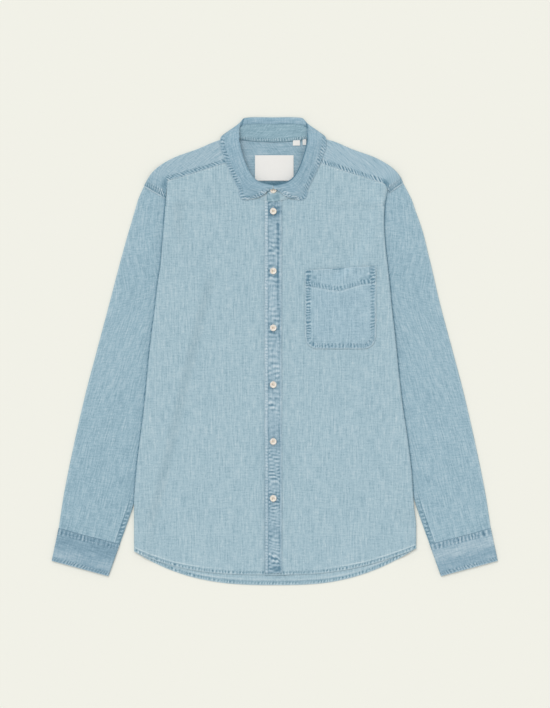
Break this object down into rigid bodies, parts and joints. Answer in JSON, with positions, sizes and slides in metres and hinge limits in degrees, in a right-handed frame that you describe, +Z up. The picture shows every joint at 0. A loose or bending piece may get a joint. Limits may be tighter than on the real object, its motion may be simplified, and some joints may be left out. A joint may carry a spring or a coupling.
{
  "type": "shirt",
  "caption": "Buttoned long-sleeve shirt laid flat on its back with its sleeves down, a turned-down collar, a curved hem and a chest pocket.",
  "frame": {"origin": "middle of the box around the shirt, on the surface that it lies on", "axes": "+X towards the wearer's left sleeve, +Y towards the collar, +Z up from the surface, through the front"},
  "size_m": [0.759, 0.7963, 0.0128],
  "materials": {
    "chambray": "washed plain weave, matte",
    "chambray_double": "the same cloth doubled and topstitched, matte",
    "label": "white woven tape, left blank",
    "button": "off-white resin, satin"
  },
  "bodies": {
    "root": {"back": "chambray", "yoke": "chambray", "front_right": "chambray", "front_left": "chambray", "placket": "chambray_double", "collar_stand": "chambray_double", "collar_fall": "chambray_double", "sleeve_right": "chambray", "sleeve_left": "chambray", "cuff_right": "chambray_double", "cuff_left": "chambray_double", "pocket": "chambray_double", "neck_label": "label", "size_label": "label", "care_label": "label", "button_1": "button", "button_2": "button", "button_3": "button", "button_4": "button", "button_5": "button", "button_6": "button", "button_7": "button"}
  },
  "joints": []
}
